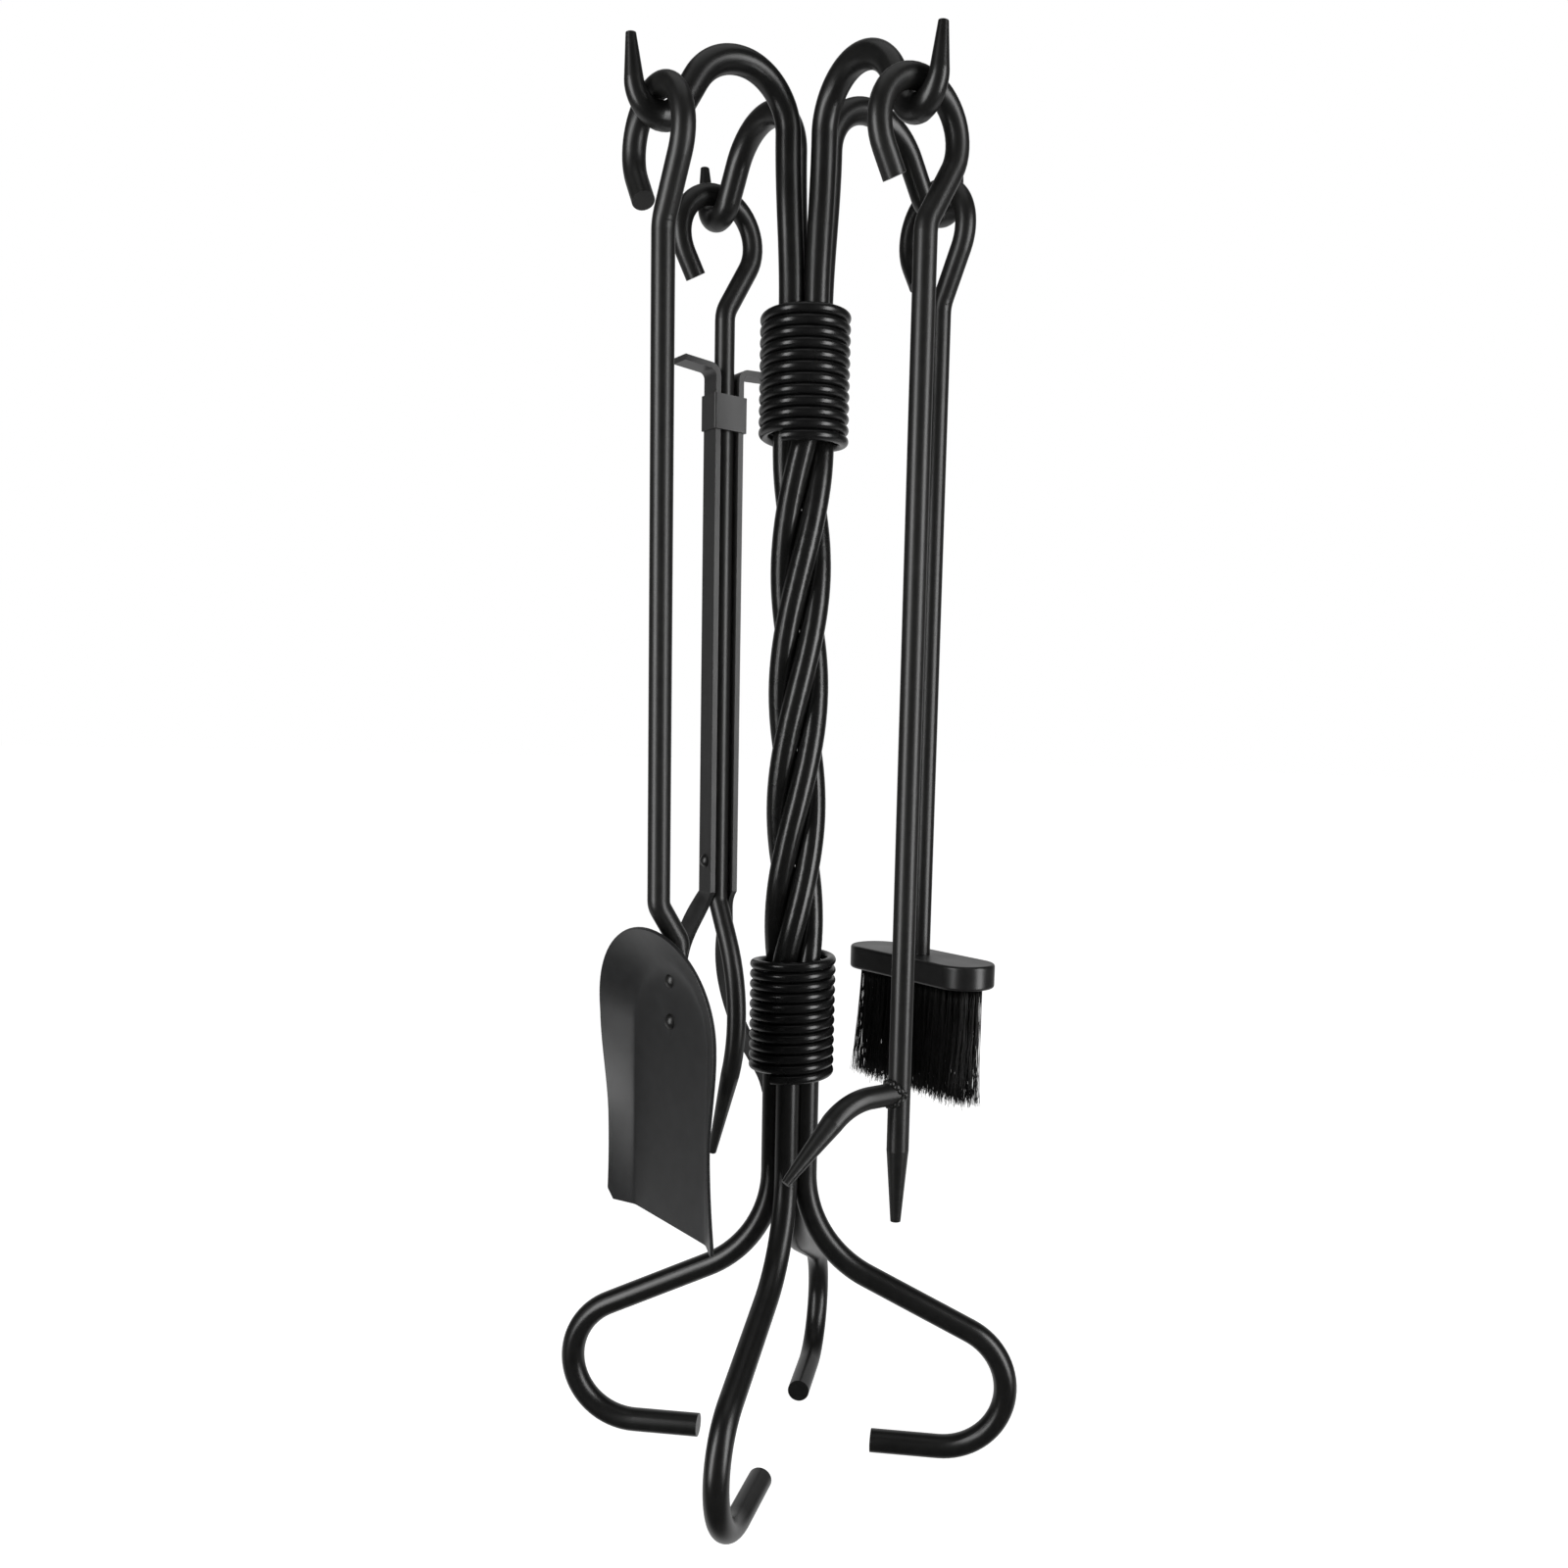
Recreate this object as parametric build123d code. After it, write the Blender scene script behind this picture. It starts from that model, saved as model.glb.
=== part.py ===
"""Fireplace tool set: a twisted four-rod stand with four hooks, a shovel, a poker, log tongs and a brush.

Millimetres, +Z up. The origin is on the floor, on the axis of the stand.
The hooks point along -X (shovel), -Y (poker), +X (brush) and +Y (tongs). The feet lie between them.
"""
from build123d import *
from math import asin, atan2, cos, degrees, radians, sin, sqrt, tan
import os

# ---------------------------------------------------------------- driving dimensions
STAND_ROD = 12.7          # diameter of the rods of the stand
TOOL_ROD = 11.1           # diameter of the rods of the four tools
CLEARANCE = 0.3           # gap between bodies that move apart

# stand: heights of its two hidden screw joints, and of the wire wraps that cover them
LOWER_JOINT_Z = 245.0
UPPER_JOINT_Z = 572.0
PLATE_THICKNESS = 4.0
PLATE_DIAMETER = 35.2
STUD_DIAMETER = 5.0
STUD_LENGTH = 36.0
WRAP_WIRE = 5.2
WRAP_RADIUS = 20.3        # to the middle of the wire
WRAP_PITCH = 5.45
WRAP_TURNS = 11.56
WRAP_PHASE = 205.0        # direction of the lower end of each wrap

# stand: bundles of four rods
BUNDLE_RADIUS = STAND_ROD / sqrt(2) + 0.02
TWIST_RADIUS = 9.22
TWIST_TURN = 244.0        # height of one full turn of the column
TWIST_PHASE = 98.0        # direction of the first strand at TWIST_PHASE_Z
TWIST_PHASE_Z = 446.0

# feet
LEG_BEND_Z = 157.5
LEG_BEND_RADIUS = 62.0
LEG_SLOPE = 24.7
LEG_REACH = 122.1
LEG_CURL_RADIUS = 35.8
LEG_TOE_RADIUS = 49.0
FRONT_LEG_SKEW = -5.5     # the front foot points a little to the left of its corner

# hooks
ARM_SPLAY_Z = 606.0
ARM_SPLAY = 3.6           # outward shift of the neck between the wrap and the arch
ARM_TOP_Z = 709.7
ARM_RISE_RADIUS = 25.5
ARM_FALL_RADIUS = 31.5
ARM_FALL_SLOPE = 60.0
ARM_FALL_LENGTH = 17.5
SADDLE_RADIUS = 12.5
HOOK_TIP_SLOPE = 85.0
HOOK_TIP_LENGTH = 19.0
HOOK_ROOT_DIAMETER = 9.0  # where the straight tip begins
HOOK_TIP_DIAMETER = 4.8

# the hanging loop that the four tools share
LOOP_RADIUS = 22.9
LOOP_OFFSET = 5.4         # from the middle of the loop to the shaft
LOOP_TAIL_ANGLE = 30.0
LOOP_TAIL_LENGTH = 12.5
LOOP_NECK_Z = 625.0
LOOP_NECK_RADIUS = 16.0

# shovel
BLADE_BOTTOM_Z = 145.5
BLADE_WIDE_Z = 247.0
BLADE_TOP_Z = 297.5
BLADE_HALF_WIDTH = 56.3
BLADE_NECK_HALF_WIDTH = 49.4
BLADE_LIP_HALF_WIDTH = 53.0
BLADE_NECK_Z = 193.0
PAN_HALF_WIDTH = 35.4
PAN_SPRING_Z = 243.0
PAN_TOP_Z = 278.6
PAN_SETBACK = 7.0         # pan floor behind the axis of the handle
BLADE_SHEET = 1.8
BLADE_RIM_LIP = 7.5       # height of the walls over the pan, at the lip
BLADE_RIM_NECK = 8.5
BLADE_RIM_WIDE = 10.0
BLADE_RIM_TOP = 14.4
BLADE_OVERRUN = 12.0      # cut-off length below the lip
BLADE_CORNER_CUT = 3.8
STEP_TOP_Z = 311.5        # where the handle steps back behind the blade
STEP_ANGLE = 32.0
STEP_RADIUS = 9.0
FLATTEN_LENGTH = 8.0
STRIP_THICKNESS = 5.0
STRIP_WIDTH = 14.0
STRIP_BOTTOM_Z = 240.0
SHOVEL_RIVETS_Z = (271.0, 250.4)
RIVET_SHANK = 4.0
RIVET_HEAD = 8.4
RIVET_HEAD_HEIGHT = 2.6

# poker
POKER_TAPER_Z = 191.0
POKER_TIP_Z = 154.5
POKER_TIP_DIAMETER = 5.2
BARB_Z = 220.0
BARB_ROOT_X = 3.0
BARB_BEND_X = 18.0
BARB_BEND_RADIUS = 34.0
BARB_SLOPE = 43.0
BARB_LENGTH = 36.0
BARB_TIP_DIAMETER = 4.4
BARB_WELD_X = 6.6
BARB_WELD_RADIUS = 1.7

# tongs
PIVOT_Z = 321.0
PIVOT_DIAMETER = 5.0
PIVOT_HOLE = 5.12
PIVOT_HEAD = 8.0
BAR_WIDTH = 12.7
BAR_THICKNESS = 3.2
BAR_TIP_WIDTH = 8.0
JAW_BEND_Z = 300.0
ROD_JAW_SLOPE = 27.0
ROD_JAW_STRAIGHT = 22.0
ROD_JAW_RADIUS = 100.0
ROD_JAW_RETURN = 20.0
ROD_JAW_TIP_Z = 145.0
ROD_JAW_TIP_DIAMETER = 5.0
JAW_CRANK_RADIUS = 10.0
FORK_JAW_POINTS = (       # sideways, away from the stand, height
    (8.9, 4.2, 294.0),
    (12.7, 12.0, 280.0),
    (15.0, 17.3, 261.0),
    (16.5, 12.8, 238.0),
    (19.5, -1.5, 213.0),
    (24.0, -27.0, 177.0),
)
FORK_JAW_END = (0, -0.5, -0.87)
FORK_JAW_STATIONS = 9
TAB_Z = 594.0
TAB_REACH = 28.5          # from the shaft's axis to the tip of a thumb tab
TAB_SLOPE = 4.0
TAB_BEND_RADIUS = 5.0
STRAP_BOTTOM_Z = 561.0
STRAP_HEIGHT = 18.8
STRAP_SHEET = 1.5

# brush
HEAD_TOP_Z = 272.6
HEAD_HEIGHT = 13.4
HEAD_LENGTH = 108.0
HEAD_WIDTH = 34.0
HEAD_EDGE = 1.6
HEAD_SPIGOT = 8.0
HEAD_SPIGOT_DEPTH = 9.0
BRISTLE_LENGTH = 67.0
BRISTLE_INSET = 5.6

# ---------------------------------------------------------------- derived places
FALL = radians(ARM_FALL_SLOPE)
ARCH_FOOT_R = BUNDLE_RADIUS + ARM_SPLAY
SADDLE_START_R = ARCH_FOOT_R + ARM_RISE_RADIUS + ARM_FALL_RADIUS * sin(FALL) + ARM_FALL_LENGTH * cos(FALL)
SADDLE_START_Z = ARM_TOP_Z - ARM_FALL_RADIUS * (1 - cos(FALL)) - ARM_FALL_LENGTH * sin(FALL)
HANG_RADIUS = SADDLE_START_R + SADDLE_RADIUS * sin(FALL)
SADDLE_TOP_Z = SADDLE_START_Z + SADDLE_RADIUS * (cos(FALL) - 1) + STAND_ROD / 2
LOOP_CENTRE_Z = SADDLE_TOP_Z + CLEARANCE + TOOL_ROD / 2 - LOOP_RADIUS
PAN_BACK = PAN_SETBACK + BLADE_SHEET
BAR_X = TOOL_ROD / 2 + CLEARANCE + BAR_THICKNESS / 2
FROM_BOTTOM = (Align.CENTER, Align.CENTER, Align.MIN)

# Each tool is modelled about its shaft: x sideways, y away from the stand's front corner, z up.
# For the shovel and the poker +y points at the stand, and for the tongs and the brush away from it.
SHOVEL_PLACE = Pos(-HANG_RADIUS, -LOOP_OFFSET, 0) * Rot(0, 0, -90)
POKER_PLACE = Pos(LOOP_OFFSET, -HANG_RADIUS, 0)
TONGS_PLACE = Pos(LOOP_OFFSET, HANG_RADIUS, 0)
BRUSH_PLACE = Pos(HANG_RADIUS, -LOOP_OFFSET, 0) * Rot(0, 0, -90)


# ---------------------------------------------------------------- helpers
def polar_plane(angle):
    """Vertical plane through the stand's axis: x runs outward along angle, y runs up."""
    a = radians(angle)
    return Plane(origin=(0, 0, 0), x_dir=(cos(a), sin(a), 0), z_dir=(sin(a), -cos(a), 0))


def rod_along(edges, diameter):
    """Round rod swept along edges that run on smoothly from one to the next."""
    path = Wire(edges)
    return sweep(Plane(origin=path @ 0, z_dir=path % 0) * Circle(diameter / 2), path=path)


def tapered_along(edge, first, last, stations=2):
    """Round rod along an edge, whose diameter runs evenly from first to last."""
    sections = []
    for i in range(stations):
        u = i / (stations - 1)
        sections.append(Plane(origin=edge @ u, z_dir=edge % u) * Circle((first + (last - first) * u) / 2))
    return loft(sections)


def turn(start, heading, radius, angle):
    """Arc that goes on from start along heading (degrees) and turns by angle, + to the left."""
    side = 1 if angle > 0 else -1
    centre = start + Vector(-sin(radians(heading)), cos(radians(heading))) * radius * side
    return CenterArc(centre, radius, heading - 90 * side, angle)


def ahead(start, heading, length):
    """Line that goes on from start along heading (degrees)."""
    return Line(start, start + Vector(cos(radians(heading)), sin(radians(heading))) * length)


def fused(*shapes):
    """The shapes as one solid."""
    return shapes[0].fuse(*shapes[1:]).solids()[0]


def save(name, shape):
    """Write one node's file."""
    export_step(shape, f"parts/{name}.step")


# ---------------------------------------------------------------- stand
def leg(angle, skew):
    """Rod that comes down in the bundle, sweeps outward and curls under itself onto the floor."""
    top = Vector(BUNDLE_RADIUS, LOWER_JOINT_Z - PLATE_THICKNESS)
    bend_start = Vector(BUNDLE_RADIUS, LEG_BEND_Z)
    bend = turn(bend_start, -90, LEG_BEND_RADIUS, 90 - LEG_SLOPE)
    curl_centre = Vector(LEG_REACH - LEG_CURL_RADIUS, LEG_CURL_RADIUS + STAND_ROD / 2)
    curl = CenterArc(curl_centre, LEG_CURL_RADIUS, 90 - LEG_SLOPE, LEG_SLOPE - 180)
    toe = Vector(LEG_TOE_RADIUS, STAND_ROD / 2)
    edges = [Line(top, bend_start), bend, Line(bend @ 1, curl @ 0), curl, Line(curl @ 1, toe)]
    plane = polar_plane(angle)
    rod = rod_along([plane * edge for edge in edges], STAND_ROD)
    return rod.rotate(Axis(plane.from_local_coords((BUNDLE_RADIUS, 0, 0)), (0, 0, 1)), skew)


def arm(angle):
    """Rod that rises from the bundle, arches outward, dips into a saddle and turns up to a thin tip."""
    foot = Vector(BUNDLE_RADIUS, UPPER_JOINT_Z + PLATE_THICKNESS)
    neck = Vector(BUNDLE_RADIUS, ARM_SPLAY_Z)
    splay = Spline(neck, (ARCH_FOOT_R, ARM_TOP_Z - ARM_RISE_RADIUS), tangents=((0, 1), (0, 1)))
    rise = turn(splay @ 1, 90, ARM_RISE_RADIUS, -90)
    fall = turn(rise @ 1, 0, ARM_FALL_RADIUS, -ARM_FALL_SLOPE)
    run = ahead(fall @ 1, -ARM_FALL_SLOPE, ARM_FALL_LENGTH)
    dip = turn(run @ 1, -ARM_FALL_SLOPE, SADDLE_RADIUS, ARM_FALL_SLOPE)
    lift = turn(dip @ 1, 0, SADDLE_RADIUS, HOOK_TIP_SLOPE)
    tip = ahead(lift @ 1, HOOK_TIP_SLOPE, HOOK_TIP_LENGTH)
    plane = polar_plane(angle)
    body = rod_along([plane * edge for edge in (Line(foot, neck), splay, rise, fall, run, dip)], STAND_ROD)
    thinning = tapered_along(plane * lift, STAND_ROD, HOOK_ROOT_DIAMETER, 7)
    end = tapered_along(plane * tip, HOOK_ROOT_DIAMETER, HOOK_TIP_DIAMETER)
    return fused(body, thinning, end)


def column_rod(index):
    """One of the four strands of the twisted column, between its two plates."""
    bottom = LOWER_JOINT_Z + PLATE_THICKNESS
    height = UPPER_JOINT_Z - PLATE_THICKNESS - bottom
    margin = 4.0
    strand = rod_along([Helix(TWIST_TURN, height + 2 * margin, TWIST_RADIUS)], STAND_ROD)
    start = TWIST_PHASE + 90 * index + 360 * (bottom - margin - TWIST_PHASE_Z) / TWIST_TURN
    strand = Pos(0, 0, bottom - margin) * Rot(0, 0, start) * strand
    return (strand & Pos(0, 0, bottom) * Box(80, 80, height, align=FROM_BOTTOM)).solids()[0]


def plate(bottom_z):
    """Round plate that one end of a bundle is welded to, drilled for the stud."""
    disc = Cylinder(PLATE_DIAMETER / 2, PLATE_THICKNESS, align=FROM_BOTTOM)
    hole = Cylinder(STUD_DIAMETER / 2, PLATE_THICKNESS, align=FROM_BOTTOM)
    return Pos(0, 0, bottom_z) * (disc - hole)


def stud(middle_z):
    """Stud that pulls two plates together. Its ends stand in the gap between the four rods."""
    return Pos(0, 0, middle_z) * Cylinder(STUD_DIAMETER / 2, STUD_LENGTH)


def wrap(middle_z):
    """Close coil of wire that covers a screw joint."""
    height = WRAP_PITCH * WRAP_TURNS
    coil = rod_along([Helix(WRAP_PITCH, height, WRAP_RADIUS)], WRAP_WIRE)
    return Pos(0, 0, middle_z - height / 2) * Rot(0, 0, WRAP_PHASE) * coil


def save_stand():
    """Feet, twisted column, hooks, and the two screw joints under their wraps."""
    legs = (("front", 225, FRONT_LEG_SKEW), ("right", 315, 0), ("back", 45, 0), ("left", 135, 0))
    for corner, angle, skew in legs:
        save(f"leg_{corner}", leg(angle, skew))
    for angle, tool in ((180, "shovel"), (270, "poker"), (0, "brush"), (90, "tongs")):
        save(f"hook_arm_{tool}", arm(angle))
    for index in range(4):
        save(f"column_rod_{index + 1}", column_rod(index))
    save("leg_plate", plate(LOWER_JOINT_Z - PLATE_THICKNESS))
    save("column_bottom_plate", plate(LOWER_JOINT_Z))
    save("column_top_plate", plate(UPPER_JOINT_Z - PLATE_THICKNESS))
    save("arm_plate", plate(UPPER_JOINT_Z))
    for name, z in (("lower", LOWER_JOINT_Z), ("upper", UPPER_JOINT_Z)):
        save(f"{name}_stud", stud(z))
        save(f"{name}_wrap", wrap(z))


# ---------------------------------------------------------------- parts that the tools share
def shaft_and_loop(bottom_z):
    """Straight shaft from bottom_z up, which ends in the loop that hangs on a hook."""
    corner = Vector(0, LOOP_NECK_Z)
    centre = Vector(-LOOP_OFFSET, LOOP_CENTRE_Z)
    reach = centre - corner
    heading = degrees(atan2(reach.Y, reach.X) - asin(LOOP_RADIUS / reach.length))
    setback = LOOP_NECK_RADIUS * tan(radians(90 - heading) / 2)
    neck = turn(Vector(0, LOOP_NECK_Z - setback), 90, LOOP_NECK_RADIUS, heading - 90)
    around = CenterArc(centre, LOOP_RADIUS, heading - 90, 270 + LOOP_TAIL_ANGLE - heading)
    tail = ahead(around @ 1, 360 - 90 + LOOP_TAIL_ANGLE, LOOP_TAIL_LENGTH)
    edges = [Line((0, bottom_z), neck @ 0), neck, Line(neck @ 1, around @ 0), around, tail]
    return rod_along([Plane.XZ * edge for edge in edges], TOOL_ROD)


def dome(y, z, side, diameter, height):
    """Domed rivet head on the face at y, bulging towards +y or -y as side says."""
    ball_radius = (diameter * diameter / 4 + height * height) / (2 * height)
    ball = Pos(0, y + side * (height - ball_radius), z) * Sphere(ball_radius)
    return ball & Pos(0, y + side * height, z) * Box(2 * diameter, 2 * height, 2 * diameter)


def cross_pin(diameter, first, last, z):
    """Pin along y from first to last."""
    return Pos(0, (first + last) / 2, z) * Rot(90, 0, 0) * Cylinder(diameter / 2, last - first)


# ---------------------------------------------------------------- shovel
def rim_growth(half_width, rim_height):
    """Half width that a wall sloping from the pan to half_width at rim_height has at the highest rim."""
    return PAN_HALF_WIDTH + (half_width - PAN_HALF_WIDTH) * BLADE_RIM_TOP / rim_height


def pan_outline():
    """Outline of the pan's flat floor, open downward past the lip."""
    low = BLADE_BOTTOM_Z - BLADE_OVERRUN
    right = Line((PAN_HALF_WIDTH, low), (PAN_HALF_WIDTH, PAN_SPRING_Z))
    top = EllipticalCenterArc((0, PAN_SPRING_Z), PAN_HALF_WIDTH, PAN_TOP_Z - PAN_SPRING_Z, arc_size=180)
    left = Line((-PAN_HALF_WIDTH, PAN_SPRING_Z), (-PAN_HALF_WIDTH, low))
    return [right, top, left, Line((-PAN_HALF_WIDTH, low), (PAN_HALF_WIDTH, low))]


def rim_outline():
    """Outline that the sloping walls reach at the height of the highest rim."""
    low = BLADE_BOTTOM_Z - BLADE_OVERRUN
    lip = rim_growth(BLADE_LIP_HALF_WIDTH, BLADE_RIM_LIP)
    neck = rim_growth(BLADE_NECK_HALF_WIDTH, BLADE_RIM_NECK)
    wide = rim_growth(BLADE_HALF_WIDTH, BLADE_RIM_WIDE)
    right = Spline((lip, low), (neck, BLADE_NECK_Z), (wide, BLADE_WIDE_Z), tangents=((-0.2, 1), (0, 1)))
    top = EllipticalCenterArc((0, BLADE_WIDE_Z), wide, BLADE_TOP_Z - BLADE_WIDE_Z, arc_size=180)
    left = Spline((-wide, BLADE_WIDE_Z), (-neck, BLADE_NECK_Z), (-lip, low), tangents=((0, -1), (-0.2, -1)))
    return [right, top, left, Line((-lip, low), (lip, low))]


def blade_hollow():
    """Space inside the blade, from the pan's floor out to the highest rim."""
    floor = Wire([Pos(0, PAN_SETBACK, 0) * (Plane.XZ * line) for line in pan_outline()])
    rim = Wire([Pos(0, PAN_SETBACK - BLADE_RIM_TOP, 0) * (Plane.XZ * line) for line in rim_outline()])
    return Solid.make_loft([floor, rim], ruled=True)


def rim_profile():
    """Side view of the blade, as a slab whose front follows the edge of the walls."""
    heights = ((BLADE_BOTTOM_Z, BLADE_RIM_LIP), (BLADE_NECK_Z, BLADE_RIM_NECK),
               (BLADE_WIDE_Z, BLADE_RIM_WIDE), (BLADE_TOP_Z, BLADE_RIM_TOP - 0.2))
    front = Spline([(PAN_SETBACK - height, z) for z, height in heights])
    back = PAN_BACK + 5
    edges = [front, Line(front @ 1, (back, BLADE_TOP_Z)), Line((back, BLADE_TOP_Z), (back, BLADE_BOTTOM_Z)),
             Line((back, BLADE_BOTTOM_Z), front @ 0)]
    return extrude(Face(Wire([Plane.YZ * edge for edge in edges])), amount=100, both=True)


def corner_cut(side):
    """Wedge that takes the outer lower corner off one wall."""
    x = side * BLADE_LIP_HALF_WIDTH
    z = BLADE_BOTTOM_Z
    size = BLADE_CORNER_CUT
    wedge = Polyline((x - side * size, z), (x + side * size, z - 1), (x + side * size, z + 2 * size), close=True)
    return extrude(Face(Wire((Plane.XZ * wedge).edges())), amount=60, both=True)


def shovel_blade():
    """Pressed sheet blade: flat pan, sloping walls that rise to the back, and a domed top."""
    hollow = blade_hollow()
    sheet = (Pos(0, BLADE_SHEET, 0) * hollow - hollow) & rim_profile()
    for side in (1, -1):
        sheet = sheet - corner_cut(side)
    for z in SHOVEL_RIVETS_Z:
        sheet = sheet - cross_pin(RIVET_SHANK, 0, 30, z)
    return sheet.solids()[0]


def shovel_handle():
    """Round handle that steps back behind the blade and is flattened into a strip for its rivets."""
    strip_y = PAN_BACK + STRIP_THICKNESS / 2
    start = Vector(0, STEP_TOP_Z)
    out = turn(start, -90, STEP_RADIUS, STEP_ANGLE)
    bend_shift = 2 * STEP_RADIUS * (1 - cos(radians(STEP_ANGLE)))
    run = ahead(out @ 1, STEP_ANGLE - 90, (strip_y - bend_shift) / sin(radians(STEP_ANGLE)))
    back = turn(run @ 1, STEP_ANGLE - 90, STEP_RADIUS, -STEP_ANGLE)
    step = rod_along([Plane.YZ * edge for edge in (out, run, back)], TOOL_ROD)
    end = back @ 1
    round_end = Pos(0, end.X, end.Y) * Circle(TOOL_ROD / 2)
    flat_z = end.Y - FLATTEN_LENGTH
    flat_start = Pos(0, strip_y, flat_z) * RectangleRounded(STRIP_WIDTH, STRIP_THICKNESS, STRIP_THICKNESS / 2.2)
    flatten = loft([round_end, flat_start])
    strip_height = flat_z - STRIP_BOTTOM_Z - STRIP_WIDTH / 2
    strip = Pos(0, strip_y, flat_z - strip_height) * extrude(
        RectangleRounded(STRIP_WIDTH, STRIP_THICKNESS, STRIP_THICKNESS / 2.2), amount=strip_height)
    toe = cross_pin(STRIP_WIDTH, PAN_BACK, PAN_BACK + STRIP_THICKNESS, STRIP_BOTTOM_Z + STRIP_WIDTH / 2)
    handle = fused(shaft_and_loop(STEP_TOP_Z), step, flatten, strip, toe)
    for z in SHOVEL_RIVETS_Z:
        handle = handle - cross_pin(RIVET_SHANK, 0, 30, z)
    return handle.solids()[0]


def shovel_rivets():
    """The two domed rivets that hold the blade, each with a head on both sides."""
    rivets = []
    back = PAN_BACK + STRIP_THICKNESS
    for z in SHOVEL_RIVETS_Z:
        shank = cross_pin(RIVET_SHANK, PAN_SETBACK, back, z)
        front_head = dome(PAN_SETBACK, z, -1, RIVET_HEAD, RIVET_HEAD_HEIGHT)
        back_head = dome(back, z, 1, RIVET_HEAD, RIVET_HEAD_HEIGHT)
        rivets.append(fused(shank, front_head, back_head))
    return Compound(rivets)


# ---------------------------------------------------------------- poker
def poker_shaft():
    """Shaft with a long blunt taper at the bottom."""
    taper = tapered_along(Line((0, 0, POKER_TIP_Z), (0, 0, POKER_TAPER_Z)), POKER_TIP_DIAMETER, TOOL_ROD)
    return fused(shaft_and_loop(POKER_TAPER_Z), taper)


def barb_rod():
    """The barb's whole rod, from inside the shaft to its point."""
    root = Line((-BARB_ROOT_X, BARB_Z), (-BARB_BEND_X, BARB_Z))
    bend = turn(root @ 1, 180, BARB_BEND_RADIUS, BARB_SLOPE)
    point = ahead(bend @ 1, 180 + BARB_SLOPE, BARB_LENGTH)
    rod = rod_along([Plane.XZ * root, Plane.XZ * bend], TOOL_ROD)
    return fused(rod, tapered_along(Plane.XZ * point, TOOL_ROD, BARB_TIP_DIAMETER))


def poker_barb(shaft):
    """Curved barb, its root cut to sit on the round of the shaft."""
    return (barb_rod() - shaft).solids()[0]


def poker_weld(shaft, barb):
    """Weld bead around the root of the barb."""
    bead = Pos(-BARB_WELD_X, 0, BARB_Z) * Rot(0, 90, 0) * Torus(TOOL_ROD / 2 - 0.2, BARB_WELD_RADIUS)
    return Compound((bead - shaft - barb).solids())


# ---------------------------------------------------------------- tongs
def tongs_rod():
    """Single jaw: the shaft bows towards the stand below the pivot and comes back to a tapered point."""
    start = Vector(0, JAW_BEND_Z)
    crank = turn(start, -90, JAW_CRANK_RADIUS, -ROD_JAW_SLOPE)
    run = ahead(crank @ 1, -90 - ROD_JAW_SLOPE, ROD_JAW_STRAIGHT)
    bow = turn(run @ 1, -90 - ROD_JAW_SLOPE, ROD_JAW_RADIUS, ROD_JAW_SLOPE + ROD_JAW_RETURN)
    length = ((bow @ 1).Y - ROD_JAW_TIP_Z) / cos(radians(ROD_JAW_RETURN))
    point = ahead(bow @ 1, -90 + ROD_JAW_RETURN, length)
    jaw = rod_along([Plane.YZ * edge for edge in (crank, run, bow)], TOOL_ROD)
    tip = tapered_along(Plane.YZ * point, TOOL_ROD, ROD_JAW_TIP_DIAMETER)
    rod = fused(shaft_and_loop(JAW_BEND_Z), jaw, tip)
    hole = Pos(0, 0, PIVOT_Z) * Rot(0, 90, 0) * Cylinder(PIVOT_HOLE / 2, 3 * TOOL_ROD)
    return (rod - hole).solids()[0]


def tab_and_bar():
    """Upper half of the right bar: a straight flat that bends out into a thumb tab."""
    bend_start = Vector(BAR_X, TAB_Z - TAB_BEND_RADIUS)
    bend = turn(bend_start, 90, TAB_BEND_RADIUS, TAB_SLOPE - 90)
    tip_length = (TAB_REACH - (bend @ 1).X) / cos(radians(TAB_SLOPE))
    tab = ahead(bend @ 1, TAB_SLOPE, tip_length)
    path = Wire([Plane.XZ * edge for edge in (Line((BAR_X, JAW_BEND_Z + 3), bend_start), bend, tab)])
    section = Pos(*(path @ 0)) * Rectangle(BAR_THICKNESS, BAR_WIDTH)
    return sweep(section, path=path)


def fork_jaw():
    """Lower half of the right bar: it bows away from the stand, spreads sideways, and hooks back."""
    points = [(BAR_X, 0, JAW_BEND_Z + 3), *FORK_JAW_POINTS]
    path = Spline(points, tangents=((0, 0, -1), FORK_JAW_END))
    sections = []
    for i in range(FORK_JAW_STATIONS):
        u = i / (FORK_JAW_STATIONS - 1)
        along = path % u
        across = Vector(1, 0, 0) - along * along.X
        width = BAR_WIDTH - (BAR_WIDTH - BAR_TIP_WIDTH) * u ** 4
        sections.append(Plane(origin=path @ u, x_dir=across, z_dir=along) * Rectangle(BAR_THICKNESS, width))
    return loft(sections)


def tongs_bar():
    """Right bar of the fork, with its tab, its jaw and its hole for the pivot rivet."""
    bar = fused(tab_and_bar(), fork_jaw())
    hole = Pos(0, 0, PIVOT_Z) * Rot(0, 90, 0) * Cylinder(PIVOT_DIAMETER / 2, 60)
    return (bar - hole).solids()[0]


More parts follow.
